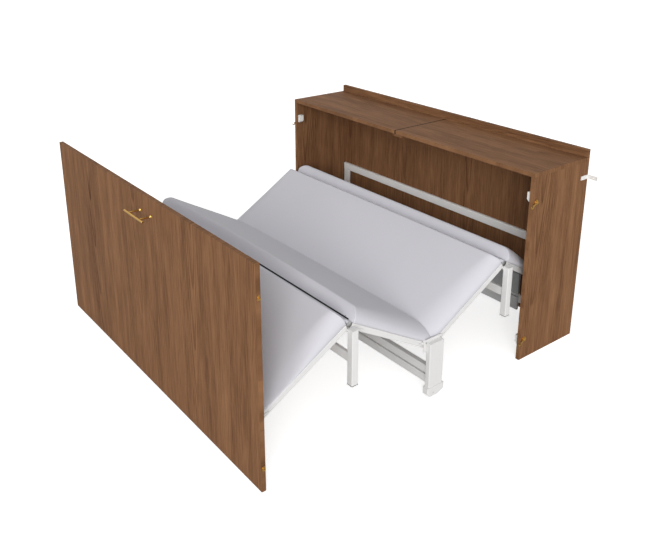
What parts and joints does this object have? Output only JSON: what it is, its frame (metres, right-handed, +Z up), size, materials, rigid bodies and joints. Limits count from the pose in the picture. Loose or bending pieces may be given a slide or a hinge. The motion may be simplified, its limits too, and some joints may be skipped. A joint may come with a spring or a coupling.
{
  "type": "cabinet bed",
  "caption": "Low walnut wall cabinet whose castored front panel pulls out a folding double bed of padded sections on white steel leg frames, half unfolded",
  "frame": {"origin": "middle of the base of the overall box, on the floor", "axes": "+X to the right seen from the front panel, +Y towards the wall, +Z up"},
  "size_m": [1.8, 1.8084, 0.918],
  "materials": {
    "walnut_laminate": "satin walnut laminate, grain upright on the front and sides and along the top",
    "back_laminate": "satin walnut laminate",
    "white_steel": "satin white powder coat",
    "zinc_steel": "zinc plated",
    "brass": "satin brass",
    "pad_cover": "smooth light grey cover over foam",
    "birch_slats": "clear lacquered birch",
    "grey_board": "matt grey board",
    "white_plastic": "matt moulded",
    "grey_plastic": "matt moulded",
    "wheel_tread": "grey wheel tread"
  },
  "bodies": {
    "cabinet": {"side_left": "walnut_laminate", "side_right": "walnut_laminate", "top_left": "walnut_laminate", "top_right": "walnut_laminate", "back_panel": "back_laminate", "backsplash": "walnut_laminate", "top_batten": "walnut_laminate", "angle_brackets": "white_plastic", "wall_brackets": "white_plastic", "catch_blocks": "white_plastic", "back_frame": "white_steel", "kick_boards": "grey_board", "rear_pivot_brackets": "white_steel", "hook_plates": "brass"},
    "hook_lower_right": {"hook_lower_right": "brass"},
    "hook_lower_left": {"hook_lower_left": "brass"},
    "hook_upper_right": {"hook_upper_right": "brass"},
    "hook_upper_left": {"hook_upper_left": "brass"},
    "section_1": {"section_1_rails": "white_steel", "section_1_crossbars": "white_steel", "section_1_slats": "birch_slats", "section_1_pad": "pad_cover"},
    "section_2": {"section_2_rails": "white_steel", "section_2_crossbars": "white_steel", "section_2_slats": "birch_slats", "section_2_pad": "pad_cover"},
    "section_3": {"section_3_rails": "white_steel", "section_3_crossbars": "white_steel", "section_3_slats": "birch_slats", "section_3_pad": "pad_cover"},
    "section_4": {"section_4_rails": "white_steel", "section_4_crossbars": "white_steel", "section_4_slats": "birch_slats", "section_4_pad": "pad_cover"},
    "rear_legs": {"rear_legs_posts": "white_steel", "rear_legs_crossbar": "white_steel", "rear_legs_feet": "grey_plastic", "rear_legs_pins": "zinc_steel"},
    "front_legs": {"front_legs_posts": "white_steel", "front_legs_crossbar": "white_steel", "front_legs_feet": "grey_plastic", "front_legs_pins": "zinc_steel"},
    "middle_legs": {"middle_legs_posts": "white_steel", "middle_legs_crossbars": "white_steel", "middle_legs_pins": "zinc_steel", "castor_housings": "white_steel", "castor_axles": "zinc_steel"},
    "middle_wheel_right": {"middle_wheel_right": "wheel_tread"},
    "middle_wheel_left": {"middle_wheel_left": "wheel_tread"},
    "front": {"front_panel": "walnut_laminate", "front_frame": "white_steel", "front_pivot_brackets": "white_steel", "handle_bar": "brass", "handle_posts": "brass", "hook_keepers": "brass", "catch_strikes": "white_plastic", "front_castor_forks": "white_steel"},
    "front_wheel_right": {"front_wheel_right": "wheel_tread"},
    "front_wheel_left": {"front_wheel_left": "wheel_tread"}
  },
  "joints": [
    {"name": "bed_fold", "type": "hinge", "parent": "cabinet", "child": "section_1", "pos_m": [0, 0.85817, 0.252], "axis": [-1, 0, 0], "range_deg": [-30, 56.5]},
    {"name": "rear_legs_fold", "type": "hinge", "parent": "section_1", "child": "rear_legs", "pos_m": [0, 0.46583, 0.44445], "axis": [-1, 0, 0], "range_deg": [-56.5, 30]},
    {"name": "section_2_fold", "type": "hinge", "parent": "rear_legs", "child": "section_2", "pos_m": [0, 0.46583, 0.44445], "axis": [-1, 0, 0], "range_deg": [-56.5, 30]},
    {"name": "middle_legs_fold", "type": "hinge", "parent": "section_2", "child": "middle_legs", "pos_m": [0, 0.0735, 0.252], "axis": [-1, 0, 0], "range_deg": [-30, 56.5]},
    {"name": "section_3_fold", "type": "hinge", "parent": "middle_legs", "child": "section_3", "pos_m": [0, -0.0055, 0.252], "axis": [-1, 0, 0], "range_deg": [-30, 56.5]},
    {"name": "front_legs_fold", "type": "hinge", "parent": "section_3", "child": "front_legs", "pos_m": [0, -0.40304, 0.44745], "axis": [-1, 0, 0], "range_deg": [-56.5, 30]},
    {"name": "section_4_fold", "type": "hinge", "parent": "front_legs", "child": "section_4", "pos_m": [0, -0.40304, 0.44745], "axis": [-1, 0, 0], "range_deg": [-56.5, 30]},
    {"name": "front_fold", "type": "hinge", "parent": "section_4", "child": "front", "pos_m": [0, -0.80057, 0.252], "axis": [-1, 0, 0], "range_deg": [-30, 56.5]},
    {"name": "middle_wheel_right_roll", "type": "hinge", "parent": "middle_legs", "child": "middle_wheel_right", "pos_m": [0.798, 0.02, 0.024], "axis": [-1, 0, 0], "continuous": true},
    {"name": "front_wheel_right_roll", "type": "hinge", "parent": "front", "child": "front_wheel_right", "pos_m": [0.6, -0.78557, 0.024], "axis": [-1, 0, 0], "continuous": true},
    {"name": "middle_wheel_left_roll", "type": "hinge", "parent": "middle_legs", "child": "middle_wheel_left", "pos_m": [-0.798, 0.02, 0.024], "axis": [-1, 0, 0], "continuous": true},
    {"name": "front_wheel_left_roll", "type": "hinge", "parent": "front", "child": "front_wheel_left", "pos_m": [-0.6, -0.78557, 0.024], "axis": [-1, 0, 0], "continuous": true},
    {"name": "hook_lower_right_swing", "type": "hinge", "parent": "cabinet", "child": "hook_lower_right", "pos_m": [0.8545, 0.54617, 0.101], "axis": [-1, 0, 0], "range_deg": [-60, 30]},
    {"name": "hook_lower_left_swing", "type": "hinge", "parent": "cabinet", "child": "hook_lower_left", "pos_m": [-0.8545, 0.54617, 0.101], "axis": [-1, 0, 0], "range_deg": [-60, 30]},
    {"name": "hook_upper_right_swing", "type": "hinge", "parent": "cabinet", "child": "hook_upper_right", "pos_m": [0.8545, 0.54617, 0.752], "axis": [-1, 0, 0], "range_deg": [-60, 30]},
    {"name": "hook_upper_left_swing", "type": "hinge", "parent": "cabinet", "child": "hook_upper_left", "pos_m": [-0.8545, 0.54617, 0.752], "axis": [-1, 0, 0], "range_deg": [-60, 30]}
  ],
  "couplings": [
    {"joint": "rear_legs_fold", "follows": "bed_fold", "ratio": -1},
    {"joint": "section_2_fold", "follows": "bed_fold", "ratio": -1},
    {"joint": "middle_legs_fold", "follows": "bed_fold", "ratio": 1},
    {"joint": "section_3_fold", "follows": "bed_fold", "ratio": 1},
    {"joint": "front_legs_fold", "follows": "bed_fold", "ratio": -1},
    {"joint": "section_4_fold", "follows": "bed_fold", "ratio": -1},
    {"joint": "front_fold", "follows": "bed_fold", "ratio": 1}
  ]
}
